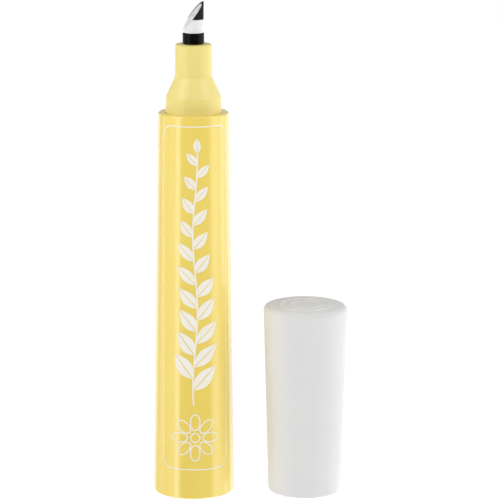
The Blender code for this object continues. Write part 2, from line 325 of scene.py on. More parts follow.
@dataclass(frozen=True)
class Finish(ABC):
    """A surface with a fine relief, whose colour and roughness change a little over it.

    The denoiser draws a faint line where roughness crosses about 0.274, so the roughness of each
    finish, with what its pattern adds, stays on one side of that.
    """

    name: str
    color: Color
    other: Color  # What its colour drifts towards
    roughness: float  # At its smoothest
    rougher: float = 0.07  # What its pattern adds at the most
    depth: float = 0.000002  # Of its relief
    specular: float = 0.5  # Strength of its mirror reflections
    coat: float = 0.0  # Weight of the clear gloss over it
    sheen: float = 0.0
    milkiness: float = 0.0  # How far light gets under its surface, as a weight
    milk_reach: float = 0.0008  # How far that light travels

    @abstractmethod
    def pattern(self, bench: Bench) -> tuple[Term, Term, Term]:
        """Places the node groups that the finish is made of.

        Args:
            bench: The material's bench.

        Returns:
            How far the colour drifts, how much rougher it gets and how high the relief stands.
        """

    @cache
    def build(self) -> Material:
        """Makes the material, once.

        Returns:
            The material.
        """
        material, bench, shader = blank_material(self.name)
        drift, wear, height = self.pattern(bench)
        bench.fill(shader, {
            "Base Color": bench.tint(self.color, self.other, drift),
            "Roughness": wear * self.rougher + self.roughness,
            "Normal": bench.out("ShaderNodeBump", {"Height": height, "Distance": self.depth}),
            "Specular IOR Level": self.specular,
            "Coat Weight": self.coat,
            "Coat Roughness": self.roughness,
            "Sheen Weight": self.sheen,
            "Subsurface Weight": self.milkiness,
            "Subsurface Scale": self.milk_reach,
        })
        return material


@dataclass(frozen=True)
class PlasticFinish(Finish):
    """A moulded plastic, gloss to matt, with faint smudges and hairlines from handling."""

    grain_size: float = 0.0004
    cloud_size: float = 0.012
    hairline_spacing: float = 0.0006
    hairline_amount: float = 0.3

    def pattern(self, bench: Bench) -> tuple[Term, Term, Term]:
        """Clouds of tone, the stronger of smudges and hairlines, and grain.

        Args:
            bench: The material's bench.

        Returns:
            The drift, the wear and the height.
        """
        surface = {"grain_size": self.grain_size, "cloud_size": self.cloud_size}
        height, tone, smudge = bench.outs("ShaderNodeGroup", surface, node_tree=moulded_group())
        marks = {"spacing": self.hairline_spacing, "amount": self.hairline_amount}
        hairlines = bench.out("ShaderNodeGroup", marks, node_tree=hairline_group())
        return bench.ramp(tone, *CLOUDS_SHOW), bench.math("MAXIMUM", smudge, hairlines), height


@dataclass(frozen=True)
class FibreFinish(Finish):
    """Bundled or pressed fibre that runs upright, darker and rougher between its strands."""

    roughness: float = 0.85
    rougher: float = 0.1
    sheen: float = 0.25
    fibre_size: float = 0.00012
    stretch: float = 0.03  # The pattern's width as a share of its length

    def pattern(self, bench: Bench) -> tuple[Term, Term, Term]:
        """Strands and the gaps between them.

        Args:
            bench: The material's bench.

        Returns:
            The drift, the wear and the height.
        """
        sizes = {"fibre_size": self.fibre_size, "stretch": self.stretch}
        height, tone = bench.outs("ShaderNodeGroup", sizes, node_tree=fibre_group())
        gaps = bench.ramp(tone, *FIBRE_GAPS_SHOW)
        return gaps, gaps, height


@dataclass(frozen=True)
class InkFinish(Finish):
    """Screen-printed ink, slightly uneven. Its second colour shows where it lies thin."""

    roughness: float = 0.5
    rougher: float = 0.12
    depth: float = 0.000003
    grain_size: float = 0.00012
    cloud_size: float = 0.004

    def pattern(self, bench: Bench) -> tuple[Term, Term, Term]:
        """Thin places and the ink's tooth.

        Args:
            bench: The material's bench.

        Returns:
            The drift, the wear and the height.
        """
        sizes = {"grain_size": self.grain_size, "cloud_size": self.cloud_size}
        height, tone, _ = bench.outs("ShaderNodeGroup", sizes, node_tree=moulded_group())
        thin = bench.ramp(tone, *THIN_INK_SHOWS)
        return thin, thin, height


YELLOW = PlasticFinish(
    "yellow_gloss_plastic", (0.92, 0.70, 0.125), (0.93, 0.72, 0.14), 0.20, specular=1.0, coat=0.6
)
PLUG_YELLOW = PlasticFinish("yellow_satin_plastic", (0.78, 0.58, 0.11), (0.80, 0.61, 0.13), 0.48)
PALE_YELLOW = PlasticFinish(
    "pale_yellow_plastic", (0.855, 0.718, 0.232), (0.865, 0.733, 0.252), 0.28, specular=0.4
)
BLACK = PlasticFinish(
    "black_satin_plastic", (0.002, 0.002, 0.002), (0.003, 0.003, 0.003), 0.20, specular=0.12
)
MILKY = PlasticFinish(
    "milky_white_plastic", (0.84, 0.84, 0.835), (0.80, 0.81, 0.81), 0.35, milkiness=0.05
)
# Painted reflection: a flat black that stands in for the dark internal reflection inside the nib's clear
# tip
PAINTED_REFLECTION_BLACK = PlasticFinish(
    "black_painted_reflection", (0.009, 0.009, 0.009), (0.013, 0.013, 0.014), 0.6,
    depth=0.000004, specular=0.12,
)
PALE_GREY = PlasticFinish(
    "pale_grey_plastic", (0.75, 0.75, 0.752), (0.77, 0.77, 0.768), 0.34, specular=0.06
)
NATURAL_WHITE = PlasticFinish(
    "natural_white_plastic", (0.82, 0.82, 0.80), (0.79, 0.79, 0.77), 0.45, milkiness=0.2
)
FILM = PlasticFinish("clear_film", (0.80, 0.83, 0.85), (0.84, 0.86, 0.88), 0.14)
PRESSED_FIBRE = FibreFinish(
    "pressed_white_fibre", (0.83, 0.83, 0.84), (0.50, 0.51, 0.52),
    fibre_size=0.00013, stretch=0.12, depth=0.000012,
)
LOOSE_FIBRE = FibreFinish(
    "bundled_white_fibre", (0.80, 0.80, 0.77), (0.62, 0.62, 0.58), depth=0.00003
)
WARM_WHITE_INK = InkFinish("warm_white_ink", (0.92, 0.88, 0.79), (0.90, 0.84, 0.68))


def added(name: str, data: bpy.types.ID) -> Object:
    """Adds an object to the scene.

    Args:
        name: Its name.
        data: Its mesh, light or camera.

    Returns:
        The object.
    """
    obj = bpy.data.objects.new(name, data)
    bpy.context.scene.collection.objects.link(obj)
    return obj


def meshed(name: str, shape: bmesh.types.BMesh) -> Object:
    """Adds a finished bmesh to the scene.

    Args:
        name: The object's name.
        shape: The bmesh, which is freed.

    Returns:
        The object.
    """
    mesh = bpy.data.meshes.new(name)
    shape.to_mesh(mesh)
    shape.free()
    return added(name, mesh)


def settle(obj: Object) -> Object:
    """Makes what an object's modifiers show its plain mesh, all in its one finish.

    Args:
        obj: An object with modifiers.

    Returns:
        The same object, with none.
    """
    bpy.context.view_layer.update()
    graph = bpy.context.evaluated_depsgraph_get()
    mesh = bpy.data.meshes.new_from_object(obj.evaluated_get(graph), depsgraph=graph)
    obj.modifiers.clear()
    obj.data = mesh
    mesh.name = obj.name
    finish = next(material for material in mesh.materials if material)
    mesh.materials.clear()
    mesh.materials.append(finish)
    mesh.polygons.foreach_set("material_index", [0] * len(mesh.polygons))
    return obj


def modified(obj: Object, kind: str, **settings: Signal) -> Object:
    """Applies a modifier.

    Args:
        obj: A piece in one finish.
        kind: The modifier's type.
        **settings: Its properties.

    Returns:
        The same object.
    """
    modifier = obj.modifiers.new(kind, kind)
    for key, value in settings.items():
        setattr(modifier, key, value)
    return settle(obj)


def place_piece(obj: Object, body: Body, slot: str | None = None, *nodes: str) -> None:
    """Smooths a finished piece up to its crisp corners, sets it on its body and reports it.

    Args:
        obj: The piece.
        body: The body that it rides on.
        slot: The record's material slot of its finish. Not used.
        *nodes: The CAD nodes that it stands for.
    """
    obj.data.shade_smooth()
    obj.data.set_sharp_from_angle(angle=SHARP_ANGLE)
    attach(obj, body.value)
    if nodes:
        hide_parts(*nodes)
    LOG.info("%s: %d faces, rides on %s", obj.name, len(obj.data.polygons), body.value)


@dataclass(frozen=True)
class Shape(ABC):
    """What a geometry tree makes. Each field is an input of the tree, by the same name."""

    @staticmethod
    @abstractmethod
    def draw(bench: Bench) -> Term:
        """Adds the nodes that make the shape.

        Args:
            bench: The tree's bench.

        Returns:
            The shape.
        """

    @classmethod
    @cache
    def tree(cls) -> Tree:
        """Builds the tree of this kind of shape, once.

        Returns:
            The tree.
        """
        sizes = {size.name: size.type.__name__.title() for size in fields(cls)}
        bench = open_tree(cls.__name__, "Geometry", points="Geometry", material="Material", **sizes)
        real = bench.geo("RealizeInstances", {0: cls.draw(bench)})
        finished = bench.geo("SetMaterial", {0: real, "Material": bench.given.material})
        return bench.end("Geometry", Shape=finished)

    def grow(self, name: str, finish: Finish, points: Outline = ()) -> Object:
        """Makes a piece.

        Args:
            name: The piece's name.
            finish: Its finish.
            points: Loose points in the XZ plane that the tree reads, if it reads any.

        Returns:
            The piece, a plain mesh.
        """
        mesh = bpy.data.meshes.new(name)
        mesh.from_pydata([(x, 0.0, z) for x, z in points], [], [])
        obj = added(name, mesh)
        modifier = obj.modifiers.new("Grow", "NODES")
        modifier.node_group = self.tree()
        values = {**vars(self), "material": finish.build()}
        for item in modifier.node_group.interface.items_tree:
            if item.name in values:
                modifier[item.identifier] = values[item.name]
        return settle(obj)


@dataclass(frozen=True)
class Lathe(Shape):
    """An outline of points, turned about an upright axis."""

    axis_x: float = 0.0
    segments: int = SEGMENTS

    @staticmethod
    def draw(bench: Bench) -> Term:
        """Bends a grid, with a row for each point, round the axis and closes its seam and poles.

        Args:
            bench: The tree's bench.

        Returns:
            The turned mesh.
        """
        given = bench.given
        size = bench.geo("AttributeDomainSize", {0: given.points}, component="MESH")
        columns = given.segments + 1
        grid = bench.geo("MeshGrid", {"Vertices X": size, "Vertices Y": columns})
        index = bench.geo("InputIndex")
        position = bench.geo("InputPosition")
        row = bench.math("FLOOR", index / columns)
        sample = {"Geometry": given.points, "Value": position, "Index": row}
        point = bench.geo("SampleIndex", sample, data_type="FLOAT_VECTOR")
        radius, _, height = bench.parts(point)
        angle = index % columns / given.segments * math.tau
        x = radius * bench.math("COSINE", angle) + given.axis_x
        y = radius * bench.math("SINE", angle)
        place = bench.vector(x, y, height)
        bent = bench.geo("SetPosition", {0: grid, "Position": place})
        return bench.geo("MergeByDistance", {0: bent, "Distance": MERGE_DISTANCE})


@dataclass(frozen=True)
class Corner:
    """A point of a turned outline, by its distance from the axis and its height."""

    radius: float
    height: float
    fillet: float = 0.0


def wall(radius: float, start: float, end: float, fillet: float = 0.0) -> tuple[Corner, Corner]:
    """The two corners of an upright wall, from one height to another."""
    return Corner(radius, start, fillet), Corner(radius, end, fillet)


def rounded(corners: list[Corner]) -> Outline:
    """Rounds the corners that have a fillet.

    Args:
        corners: The outline's corners in order. The first isn't rounded.

    Returns:
        The outline's points.
    """
    outline: Outline = []
    points = [Vector((corner.radius, corner.height)) for corner in corners]
    for index, here in enumerate(points):
        fillet = corners[index].fillet
        if not fillet:
            outline.append(tuple(here))
            continue
        back = (points[index - 1] - here).normalized()
        ahead = (points[(index + 1) % len(points)] - here).normalized()
        half = back.angle(ahead) / 2
        centre = here + (back + ahead).normalized() * fillet / math.sin(half)
        reach = fillet / math.tan(half)
        first = here + back * reach - centre
        last = here + ahead * reach - centre
        start = math.atan2(first.y, first.x)
        sweep = (math.atan2(last.y, last.x) - start + math.pi) % math.tau - math.pi
        for step in range(ARC_STEPS + 1):
            angle = start + sweep * step / ARC_STEPS
            outline.append((centre.x + fillet * math.cos(angle), centre.y + fillet * math.sin(angle)))
    return outline


def supported(outline: Outline) -> Outline:
    """Adds points on the straight stretches, close to their ends and along them, for clean shading.

    Args:
        outline: The points of an outline.

    Returns:
        The outline with more points and the same shape.
    """
    dense: Outline = []
    for first, second in zip(outline, outline[1:]):
        start, end = Vector(first), Vector(second)
        length = (end - start).length
        dense.append(first)
        if length > SHORTEST_SUPPORTED:
            inner = length - 2 * SUPPORT_SPACING
            pieces = math.ceil(inner / LONGEST_STRETCH)
            stops = [SUPPORT_SPACING + inner * step / pieces for step in range(pieces)]
            stops.append(length - SUPPORT_SPACING)
            dense.extend(tuple(start.lerp(end, stop / length)) for stop in stops)
    dense.append(outline[-1])
    return dense


def turned(name: str, finish: Finish, corners: list[Corner], axis_x: float = 0.0) -> Object:
    """Turns a piece.

    Args:
        name: The piece's name.
        finish: Its finish.
        corners: Its outline down its outer side, which is closed where it leaves the axis clear.
        axis_x: Where its axis stands.

    Returns:
        The piece.
    """
    outline = rounded(corners)
    if corners[0].radius > 0:
        outline.append(outline[0])
    return Lathe(axis_x).grow(name, finish, supported(outline))


@dataclass(frozen=True)
class Motif(Shape):
    """A flat print, X across and Y up, that is laid on the barrel's cone."""

    base_radius: float
    taper: float  # The cone's change of radius for each metre of height
    across: float = 0.0005  # To the right of the front
    lift: float = 0.000012  # The ink's underside above the plastic

    @staticmethod
    def lay(bench: Bench, flat: Term) -> Term:
        """Lays the flat motif on the cone.

        Args:
            bench: The tree's bench.
            flat: The flat motif.

        Returns:
            The laid motif.
        """
        given = bench.given
        merged = bench.geo("MergeByDistance", {0: flat, "Distance": PRINT_MERGE_DISTANCE})
        x, y, _ = bench.parts(bench.geo("InputPosition"))
        radius = y * given.taper + given.base_radius
        angle = (x + given.across) / radius
        lifted = radius + given.lift
        right = lifted * bench.math("SINE", angle)
        front = lifted * bench.math("COSINE", angle) * -1.0
        return bench.geo("SetPosition", {0: merged, "Position": bench.vector(right, front, y)})


def ribbon(bench: Bench, curve: Term, width: Term) -> Term:
    """A flat stroke of some width along a flat curve."""
    across = {"Start": bench.vector(width * -0.5), "End": bench.vector(width * 0.5)}
    return bench.geo("CurveToMesh", {0: curve, 1: bench.geo("CurvePrimitiveLine", across)})


@dataclass(frozen=True)
class FrameLine(Motif):
    """The rounded outline round the print."""

    width: float = 0.0159
    base_height: float = 0.00681
    top_height: float = 0.08339
    corner_radius: float = 0.0024
    stroke: float = 0.00024
    point_spacing: float = 0.0004

    @staticmethod
    def draw(bench: Bench) -> Term:
        """Draws a box, rounds its corners and gives it points that can follow the cone.

        Args:
            bench: The tree's bench.

        Returns:
            The laid line.
        """
        given = bench.given
        sides = {"Width": given.width, "Height": given.top_height - given.base_height}
        box = bench.geo("CurvePrimitiveQuadrilateral", sides, mode="RECTANGLE")
        fillet = {0: box, "Count": ARC_STEPS, "Radius": given.corner_radius, "Limit Radius": True}
        corners = bench.geo("FilletCurve", fillet, mode="POLY")
        spacing = {0: corners, "Length": given.point_spacing}
        spaced = bench.geo("ResampleCurve", spacing, mode="LENGTH")
        middle = bench.vector(0.0, (given.top_height + given.base_height) * 0.5)
        placed = bench.geo("Transform", {0: spaced, "Translation": middle})
        return Motif.lay(bench, ribbon(bench, placed, given.stroke))


@dataclass(frozen=True)
class Sprig(Motif):
    """A waved stem with leaves set on it left and right in turn, and one at its tip."""

    leaves: int = 21
    base_height: float = 0.0215
    top_height: float = 0.0775
    leaf_length: float = 0.0074
    leaf_width: float = 0.0034
    leaf_columns: int = 5
    leaf_rows: int = 19
    vein: float = 0.0002
    leaf_angle: float = math.radians(42)
    angle_spread: float = math.radians(4)
    tip_share: float = 0.48  # The last leaf's size as a share of the first's
    lean_share: float = 0.9  # Below 1, a leaf is widest below its middle
    stem_width: float = 0.00034
    wave_height: float = 0.0005
    wave_length: float = 0.034
    point_spacing: float = 0.0004
    seed: int = 4

    @staticmethod
    def draw(bench: Bench) -> Term:
        """Sets leaves along a straight stem and sways both.

        Args:
            bench: The tree's bench.

        Returns:
            The laid sprig.
        """
        given = bench.given
        base = bench.vector(0.0, given.base_height)
        top = bench.vector(0.0, given.top_height)
        first = bench.vector(0.0, given.base_height + given.leaf_width)
        row = {"Count": given.leaves, "Start Location": first, "Offset": top}
        index = bench.geo("InputIndex")
        last = given.leaves - 1
        side = index % 2 * 2 - 1
        limits = {RANDOM_LOW: given.angle_spread * -1.0, RANDOM_HIGH: given.angle_spread}
        limits["Seed"] = given.seed
        spread = bench.outs("FunctionNodeRandomValue", limits, data_type="FLOAT")[RANDOM_VALUE]
        upright_at_tip = bench.math("SUBTRACT", 1, bench.math("COMPARE", index, last, 0.5))
        turn = side * (given.leaf_angle + spread) * upright_at_tip
        size = bench.ramp(index / last, 0.0, 1.0, 1.0, given.tip_share)
        points = bench.geo("MeshLine", row, mode="END_POINTS")
        leaves = bench.copies(Sprig.leaf(bench), points, turn, bench.vector(size, size, 1.0))
        stem = bench.geo("CurvePrimitiveLine", {"Start": base, "End": top})
        spacing = {0: stem, "Length": given.point_spacing}
        spaced = bench.geo("ResampleCurve", spacing, mode="LENGTH")
        real = bench.geo("RealizeInstances", {0: leaves})
        parts = [real, ribbon(bench, spaced, given.stem_width)]
        both = bench.geo("JoinGeometry", {0: parts})
        _, y, _ = bench.parts(bench.geo("InputPosition"))
        sway = bench.math("SINE", y * math.tau / given.wave_length) * given.wave_height
        waved = bench.geo("SetPosition", {0: both, "Offset": bench.vector(sway)})
        return Motif.lay(bench, waved)

    @staticmethod
    def leaf(bench: Bench) -> Term:
        """Draws a leaf that points up from the origin, in two halves with a clear vein between.

        Args:
            bench: The tree's bench.

        Returns:
            The leaf.
        """
        given = bench.given
        counts = {"Vertices X": given.leaf_columns, "Vertices Y": given.leaf_rows}
        x, y, _ = bench.parts(bench.geo("InputPosition"))
        along = y + 0.5
        swell = bench.math("SINE", bench.math("POWER", along, given.lean_share) * math.pi)
        vein = given.vein * 0.5
        blade = bench.math("MAXIMUM", swell * given.leaf_width * 0.5 - vein, 0.0)
        place = bench.vector((x + 0.5) * blade + vein, along * given.leaf_length)
        grid = bench.geo("MeshGrid", counts)
        right = bench.geo("SetPosition", {0: grid, "Position": place})
        mirrored = bench.geo("Transform", {0: right, "Scale": (-1.0, 1.0, 1.0)})
        left = bench.geo("FlipFaces", {0: mirrored})
        return bench.geo("JoinGeometry", {0: [right, left]})


@dataclass(frozen=True)
class Rosette(Motif):
    """A ring with outlined petals round it."""

    petals: int = 8
    centre_height: float = 0.0141
    eye_radius: float = 0.0010
    eye_points: int = 32
    petal_start: float = 0.0017
    petal_length: float = 0.0036
    petal_width: float = 0.0021
    petal_points: int = 40
    stroke: float = 0.00026

    @staticmethod
    def draw(bench: Bench) -> Term:
        """Turns one petal about the middle and adds the ring.

        Args:
            bench: The tree's bench.

        Returns:
            The laid rosette.
        """
        given = bench.given
        circle = {"Resolution": given.petal_points, "Radius": 0.5}
        oval = bench.geo("Transform", {
            0: bench.geo("CurvePrimitiveCircle", circle),
            "Scale": bench.vector(given.petal_width, given.petal_length, 1.0),
            "Translation": bench.vector(0.0, given.petal_length * 0.5 + given.petal_start),
        })
        pivots = {"Count": given.petals, "Offset": (0.0, 0.0, 0.0)}
        turn = bench.geo("InputIndex") / given.petals * math.tau
        petal = ribbon(bench, oval, given.stroke)
        petals = bench.copies(petal, bench.geo("MeshLine", pivots), turn)
        ring = {"Resolution": given.eye_points, "Radius": given.eye_radius}
        eye = ribbon(bench, bench.geo("CurvePrimitiveCircle", ring), given.stroke)
        real = bench.geo("RealizeInstances", {0: petals})
        both = bench.geo("JoinGeometry", {0: [real, eye]})
        centre = bench.vector(0.0, given.centre_height)
        return Motif.lay(bench, bench.geo("Transform", {0: both, "Translation": centre}))


@dataclass(frozen=True)
class Fins(Shape):
    """Upright fins set round an axis."""

    fins: int
    axis_x: float
    inner_radius: float
    outer_radius: float
    thickness: float
    base_height: float
    top_height: float

    @staticmethod
    def draw(bench: Bench) -> Term:
        """Sets a blade on each point of a ring.

        Args:
            bench: The tree's bench.

        Returns:
            The fins.
        """
        given = bench.given
        depth = given.outer_radius - given.inner_radius
        tall = given.top_height - given.base_height
        ring_radius = (given.outer_radius + given.inner_radius) * 0.5
        blade = bench.geo("MeshCube", {"Size": bench.vector(depth, given.thickness, tall)})
        ring = {"Vertices": given.fins, "Radius": ring_radius}
        turn = bench.geo("InputIndex") / given.fins * math.tau
        fins = bench.copies(blade, bench.geo("MeshCircle", ring), turn)
        middle = (given.top_height + given.base_height) * 0.5
        place = bench.vector(given.axis_x, 0.0, middle)
        return bench.geo("Transform", {0: fins, "Translation": place})


@dataclass
class Barrel:
    """The tapered body tube, the plug in its base and the print on its front."""

    length: float
    base_radius: float
    top_radius: float = 0.0077
    wall: float = 0.0010
    lip_height: float = 0.0024  # Of the inward lip at the top
    lip_radius: float = 0.00628
    edge: float = 0.0003  # Rounding of the two outer edges
    inner_edge: float = 0.00012
    ink_thickness: float = 0.00003

    @property
    def taper(self) -> float:
        """The change of radius for each metre of height."""
        return (self.top_radius - self.base_radius) / self.length

    def build(self) -> None:
        """Makes the tube, the plug and the print."""
        under = self.length - self.lip_height
        bore = self.base_radius + self.taper * under - self.wall
        tube = turned("barrel_tube", YELLOW, [
            Corner((self.lip_radius + self.top_radius) / 2, self.length),
            Corner(self.top_radius, self.length, self.edge),
            Corner(self.base_radius, 0.0, self.edge),
            Corner(self.base_radius - self.wall, 0.0, self.inner_edge),
            Corner(bore, under, self.inner_edge),
            *wall(self.lip_radius, under, self.length, self.inner_edge),
        ])
        place_piece(tube, Body.PEN, "barrel_plastic", "barrel")
        EndPlug().build()
        self.build_print()

    def build_print(self) -> None:
        """Makes the white motifs on the front: a rounded line, a leafy sprig and a rosette."""
        motifs = {"print_frame_line": FrameLine, "print_sprig": Sprig, "print_rosette": Rosette}
        for name, motif in motifs.items():
            ink = motif(self.base_radius, self.taper).grow(name, WARM_WHITE_INK)
            place_piece(modified(ink, "SOLIDIFY", thickness=self.ink_thickness, offset=1.0), Body.PEN)


@dataclass
class EndPlug:
    """The plug in the barrel's base, with a skirt in the bore and a ring under the reservoir."""

    floor: float = 0.0015
    skirt_height: float = 0.0055
    skirt_wall: float = 0.0009
    draw_in: float = 0.0000836  # How much narrower the skirt is at its top
    ring_radius: float = 0.0045
    ring_wall: float = 0.0010
    edge: float = 0.0002

    def build(self) -> None:
        """Makes the plug."""
        _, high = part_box("end_plug")
        skirt = high.x - self.draw_in
        plug = turned("base_plug", PLUG_YELLOW, [
            Corner(0.0, self.floor),
            *wall(self.ring_radius - self.ring_wall, self.floor, high.z, self.edge),
            *wall(self.ring_radius, high.z, self.floor, self.edge),
            *wall(skirt - self.skirt_wall, self.floor, self.skirt_height, self.edge),
            Corner(skirt, self.skirt_height, self.edge),
            Corner(high.x, 0.0, self.edge),
            Corner(0.0, 0.0),
        ])
        place_piece(plug, Body.PEN, "plug_plastic", "end_plug")


@dataclass
class Nose:
    """The paler front moulding, which carries the collar.

    From its top down it has a neck, a cone and a base ring that stands on the barrel's shoulder,
    and inside the barrel a flange and a cage on the reservoir.
    """

    shoulder: float
    ring_base: float = 0.00618
    ring_top: float = 0.00600
    ring_height: float = 0.0035
    cone_height: float = 0.0044
    neck_radius: float = 0.00403
    neck_edge: float = 0.00045
    soft_edge: float = 0.0006  # Rounding at the cone's two ends
    cage_radius: float = 0.0054
    cage_wall: float = 0.0009
    cage_length: float = 0.0092
    flange_height: float = 0.0012
    stem_bore: float = 0.00205  # Radius of the bore for the collar's stem
    stem_depth: float = 0.0064
    wick_bore: float = 0.00135  # Radius of the bore for the wick
    wick_length: float = 0.0030
    wall: float = 0.0011

    def build(self) -> None:
        """Makes the moulding."""
        low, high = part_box("nose_section")
        ring_z = self.shoulder + self.ring_height
        cone_z = ring_z + self.cone_height
        flange_under = low.z + self.cage_length
        flange_top = flange_under + self.flange_height
        stem_end = high.z - self.stem_depth
        nose = turned("nose_moulding", PALE_YELLOW, [
            Corner((self.stem_bore + self.neck_radius) / 2, high.z),
            Corner(self.neck_radius, high.z, self.neck_edge),
            Corner(self.neck_radius, cone_z, self.soft_edge),
            Corner(self.ring_top, ring_z, self.soft_edge),
            *wall(self.ring_base, self.shoulder, flange_top),
            *wall(high.x, flange_top, flange_under),
            *wall(self.cage_radius, flange_under, low.z),
            *wall(self.cage_radius - self.cage_wall, low.z, ring_z - self.wall),
            *wall(self.wick_bore, stem_end - self.wick_length, stem_end),
            *wall(self.stem_bore, stem_end, high.z),
        ])
        place_piece(nose, Body.PEN, "nose_plastic", "nose_section")


@dataclass
class Nib:
    """The collar, the milky cup, the black band of painted reflection at the tip and the fibre core, cut
    to one slanted face.
    """

    wall: float = 0.0004  # Of the cup and of the black band of painted reflection
    rise: float = 0.0062  # Of the slanted face across the nib
    crown: float = 0.00015  # How far the face's middle stands above a flat cut
    turn: float = math.radians(16)  # Of the face's low side towards the front
    cup_floor: float = 0.0006
    wick_radius: float = 0.00125
    tenon_radius: float = 0.0016  # Of the cup's tenon in the collar
    stem_radius: float = 0.00195  # Of the collar's stem in the nose
    fit: float = 0.0001  # Air between two fixed pieces
    edge: float = 0.00012  # Rounding of the collar
    cut_edge: float = 0.00003  # Rounding of the cut pieces
    drum_segments: int = 720

    def build(self) -> None:
        """Makes the four pieces."""
        self.build_collar()
        cup_low, cup_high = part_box("nib_body")
        reflection_band_low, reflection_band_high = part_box("pusher_edge")
        core_low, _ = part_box("felt_core")
        _, collar_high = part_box("nib_collar")
        radius = cup_high.x
        pocket = radius - self.wall
        head = pocket - self.fit / 2
        over = reflection_band_high.z + self.wall
        base = collar_high.z + self.fit
        floor = base + self.cup_floor
        cup = [
            *wall(radius, cup_high.z, base),
            *wall(self.tenon_radius, base, cup_low.z),
            *wall(self.wick_radius + self.fit, cup_low.z, floor),
            *wall(pocket, floor, cup_high.z),
        ]
        # Painted reflection: the black top of the tip's outer wall paints the dark internal reflection
        # and the dark outline along the slanted face
        reflection_band = [*wall(radius, over, reflection_band_low.z), *wall(pocket, reflection_band_low.z, over)]
        core = [
            Corner(0.0, over),
            *wall(head, over, floor + self.fit),
            *wall(self.wick_radius, floor + self.fit, core_low.z),
            Corner(0.0, core_low.z),
        ]
        drum = self.drum()
        for name, finish, corners, slot, node in (
            ("nib_cup", MILKY, cup, "nib_plastic", "nib_body"),
            # The black band here is painted reflection, standing in for the clear tip's dark inside
            ("painted_reflection_band", PAINTED_REFLECTION_BLACK, reflection_band, "pusher_rubber", "pusher_edge"),
            ("fibre_tip", PRESSED_FIBRE, core, "nib_fibre", "felt_core"),
        ):
            piece = turned(name, finish, corners)
            modified(piece, "BOOLEAN", operation="INTERSECT", object=drum, solver="EXACT")
            rounding = {"width": self.cut_edge, "segments": BEVEL_SEGMENTS}
            modified(piece, "BEVEL", limit_method="ANGLE", angle_limit=SHARP_ANGLE, **rounding)
            place_piece(piece, Body.PEN, slot, node)
        bpy.data.objects.remove(drum)

    def build_collar(self) -> None:
        """Makes the black holder, with its socket and its hollow stem."""
        low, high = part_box("nib_collar")
        _, neck_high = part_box("nose_section")
        cup_low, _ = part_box("nib_body")
        base = neck_high.z + self.fit
        socket_floor = cup_low.z - self.fit
        socket = self.tenon_radius + self.fit
        collar = turned("nib_holder", BLACK, [
            Corner((socket + high.x) / 2, high.z),
            *wall(high.x, high.z, base, self.edge),
            *wall(self.stem_radius, base, low.z),
            *wall(self.wick_radius + self.fit, low.z, socket_floor),
            *wall(socket, socket_floor, high.z),
        ])
        place_piece(collar, Body.PEN, "collar_plastic", "nib_collar")

    def drum(self) -> Object:
        """Makes a large drum that lies on its side, whose wall is the slanted face.

        Returns:
            The drum.
        """
        low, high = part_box("nib_body")
        _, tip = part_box("pusher_edge")
        width = high.x - low.x
        slope = math.atan2(self.rise, width)
        chord = math.hypot(width, self.rise)
        radius = (chord**2 / 4 + self.crown**2) / (2 * self.crown)
        back = radius - self.crown
        centre = (back * math.sin(slope), 0.0, tip.z - self.rise / 2 - back * math.cos(slope))
        shape = bmesh.new()
        bmesh.ops.create_cone(
            shape, cap_ends=True, segments=self.drum_segments, radius1=radius, radius2=radius,
            depth=2 * width, matrix=Matrix.Rotation(math.pi / 2, 4, "X"),
        )
        bmesh.ops.translate(shape, vec=centre, verts=shape.verts)
        bmesh.ops.rotate(shape, matrix=Matrix.Rotation(self.turn, 3, "Z"), verts=shape.verts)
        return meshed("slant_drum", shape)


